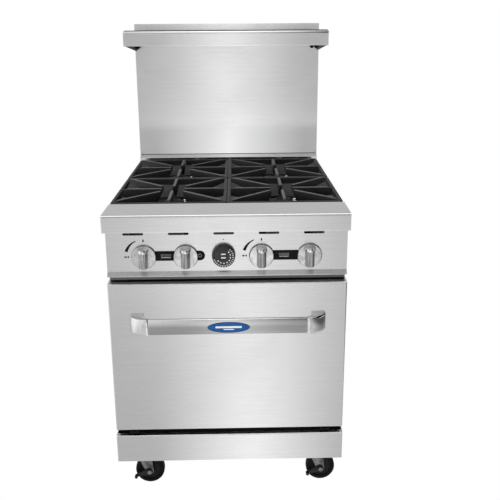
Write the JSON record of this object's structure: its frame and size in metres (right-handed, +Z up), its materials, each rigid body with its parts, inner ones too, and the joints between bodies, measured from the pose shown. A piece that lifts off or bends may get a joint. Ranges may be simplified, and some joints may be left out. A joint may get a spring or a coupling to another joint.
{
  "type": "commercial gas range",
  "caption": "Narrow commercial gas range: open burners under cast-iron grates, drop-down oven door, control knobs, high riser with shelf, on casters.",
  "frame": {"origin": "on the floor, under the middle of the range's outline", "axes": "+X to the right as the cook faces the oven door, +Y to the wall behind, +Z up"},
  "size_m": [0.61, 0.84, 1.272],
  "materials": {
    "stainless": "horizontally brushed stainless sheet",
    "galvanised": "dull galvanised sheet",
    "cast_iron": "charcoal cast iron with a fine sand-cast skin",
    "chrome": "polished chrome plate",
    "bar_steel": "lengthways brushed stainless",
    "oven_enamel": "dark speckled porcelain enamel",
    "mineral_wool": "compressed mineral wool",
    "woven_seal": "woven glass seal",
    "brass": "machined brass",
    "pipe_steel": "black steel pipe",
    "wire": "nickel-plated wire",
    "dial_black": "black moulded dial with white marks",
    "badge_blue": "plain blue enamel oval, no words",
    "zinc": "bright zinc plate",
    "tyre": "black rubber tread",
    "pedal": "black painted steel lever",
    "screw": "stainless screw heads"
  },
  "bodies": {
    "root": {"base_frame": "galvanised", "left_side_panel": "stainless", "right_side_panel": "stainless", "back_panel": "galvanised", "front_frame": "stainless", "kick_plate": "stainless", "control_panel": "stainless", "front_ledge": "stainless", "grate_frame": "galvanised", "riser_front": "stainless", "riser_back": "stainless", "shelf": "stainless", "shelf_brackets": "stainless", "oven_liner": "oven_enamel", "oven_insulation": "mineral_wool", "oven_floor": "oven_enamel", "rack_guides": "wire", "door_gasket": "woven_seal", "oven_burner": "cast_iron", "gas_manifold": "pipe_steel", "burner_valves": "brass", "thermostat": "brass", "burner_bodies": "cast_iron", "burner_head_front_left": "cast_iron", "burner_head_front_right": "cast_iron", "burner_head_rear_left": "cast_iron", "burner_head_rear_right": "cast_iron", "pilot_burners": "zinc", "tray_runners": "galvanised", "hinge_brackets": "zinc", "caster_plates": "zinc", "panel_screws": "screw"},
    "door": {"door_outer_panel": "stainless", "door_inner_panel": "oven_enamel", "door_insulation": "mineral_wool", "door_handle_bar": "bar_steel", "handle_brackets": "chrome", "handle_badge": "badge_blue", "door_hinges": "zinc"},
    "rack": {"oven_rack": "wire"},
    "tray": {"drip_tray": "galvanised"},
    "dial": {"thermostat_dial": "dial_black"},
    "knob_1": {"burner_knob_1": "chrome"},
    "knob_2": {"burner_knob_2": "chrome"},
    "knob_3": {"burner_knob_3": "chrome"},
    "knob_4": {"burner_knob_4": "chrome"},
    "grate_front_left": {"grate_front_left": "cast_iron"},
    "caster_front_left": {"caster_fork_front_left": "zinc"},
    "wheel_front_left": {"caster_wheel_front_left": "tyre"},
    "brake_front_left": {"brake_lever_front_left": "pedal"},
    "grate_front_right": {"grate_front_right": "cast_iron"},
    "caster_front_right": {"caster_fork_front_right": "zinc"},
    "wheel_front_right": {"caster_wheel_front_right": "tyre"},
    "brake_front_right": {"brake_lever_front_right": "pedal"},
    "grate_rear_left": {"grate_rear_left": "cast_iron"},
    "caster_rear_left": {"caster_fork_rear_left": "zinc"},
    "wheel_rear_left": {"caster_wheel_rear_left": "tyre"},
    "grate_rear_right": {"grate_rear_right": "cast_iron"},
    "caster_rear_right": {"caster_fork_rear_right": "zinc"},
    "wheel_rear_right": {"caster_wheel_rear_right": "tyre"}
  },
  "joints": [
    {"name": "door_hinge", "type": "hinge", "parent": "root", "child": "door", "pos_m": [0, -0.363, 0.21], "axis": [1, 0, 0], "range_deg": [0, 88], "stiffness_Nm_per_rad": 6, "springref_deg": -20.05},
    {"name": "rack_slide", "type": "slide", "parent": "root", "child": "rack", "axis": [0, -1, 0], "range_m": [0, 0.3]},
    {"name": "tray_slide", "type": "slide", "parent": "root", "child": "tray", "axis": [0, -1, 0], "range_m": [0, 0.45]},
    {"name": "thermostat_turn", "type": "hinge", "parent": "root", "child": "dial", "pos_m": [-0.009, -0.344, 0.703], "axis": [0, -1, 0], "range_deg": [0, 270]},
    {"name": "knob_1_turn", "type": "hinge", "parent": "root", "child": "knob_1", "pos_m": [-0.211, -0.344, 0.7], "axis": [0, -1, 0], "range_deg": [0, 90]},
    {"name": "knob_2_turn", "type": "hinge", "parent": "root", "child": "knob_2", "pos_m": [-0.105, -0.344, 0.7], "axis": [0, -1, 0], "range_deg": [0, 90]},
    {"name": "knob_3_turn", "type": "hinge", "parent": "root", "child": "knob_3", "pos_m": [0.087, -0.344, 0.7], "axis": [0, -1, 0], "range_deg": [0, 90]},
    {"name": "knob_4_turn", "type": "hinge", "parent": "root", "child": "knob_4", "pos_m": [0.209, -0.344, 0.7], "axis": [0, -1, 0], "range_deg": [0, 90]},
    {"name": "grate_front_left_lift", "type": "slide", "parent": "root", "child": "grate_front_left", "axis": [0, 0, 1], "range_m": [0, 0.08]},
    {"name": "grate_front_right_lift", "type": "slide", "parent": "root", "child": "grate_front_right", "axis": [0, 0, 1], "range_m": [0, 0.08]},
    {"name": "grate_rear_left_lift", "type": "slide", "parent": "root", "child": "grate_rear_left", "axis": [0, 0, 1], "range_m": [0, 0.08]},
    {"name": "grate_rear_right_lift", "type": "slide", "parent": "root", "child": "grate_rear_right", "axis": [0, 0, 1], "range_m": [0, 0.08]},
    {"name": "caster_front_left_swivel", "type": "hinge", "parent": "root", "child": "caster_front_left", "pos_m": [-0.244, -0.281, 0.105], "axis": [0, 0, 1], "continuous": true},
    {"name": "wheel_front_left_roll", "type": "hinge", "parent": "caster_front_left", "child": "wheel_front_left", "pos_m": [-0.231, -0.281, 0.041], "axis": [0, 1, 0], "continuous": true},
    {"name": "brake_front_left_press", "type": "hinge", "parent": "caster_front_left", "child": "brake_front_left", "pos_m": [-0.231, -0.281, 0.041], "axis": [0, -1, 0], "range_deg": [0, 14]},
    {"name": "caster_front_right_swivel", "type": "hinge", "parent": "root", "child": "caster_front_right", "pos_m": [0.244, -0.281, 0.105], "axis": [0, 0, 1], "continuous": true},
    {"name": "wheel_front_right_roll", "type": "hinge", "parent": "caster_front_right", "child": "wheel_front_right", "pos_m": [0.257, -0.281, 0.041], "axis": [0, 1, 0], "continuous": true},
    {"name": "brake_front_right_press", "type": "hinge", "parent": "caster_front_right", "child": "brake_front_right", "pos_m": [0.257, -0.281, 0.041], "axis": [0, -1, 0], "range_deg": [0, 14]},
    {"name": "caster_rear_left_swivel", "type": "hinge", "parent": "root", "child": "caster_rear_left", "pos_m": [-0.244, 0.3, 0.105], "axis": [0, 0, 1], "continuous": true},
    {"name": "wheel_rear_left_roll", "type": "hinge", "parent": "caster_rear_left", "child": "wheel_rear_left", "pos_m": [-0.231, 0.3, 0.041], "axis": [0, 1, 0], "continuous": true},
    {"name": "caster_rear_right_swivel", "type": "hinge", "parent": "root", "child": "caster_rear_right", "pos_m": [0.244, 0.3, 0.105], "axis": [0, 0, 1], "continuous": true},
    {"name": "wheel_rear_right_roll", "type": "hinge", "parent": "caster_rear_right", "child": "wheel_rear_right", "pos_m": [0.257, 0.3, 0.041], "axis": [0, 1, 0], "continuous": true}
  ],
  "couplings": [
    {"joint": "rack_slide", "follows": "door_hinge", "m_per_rad": 0.19}
  ]
}
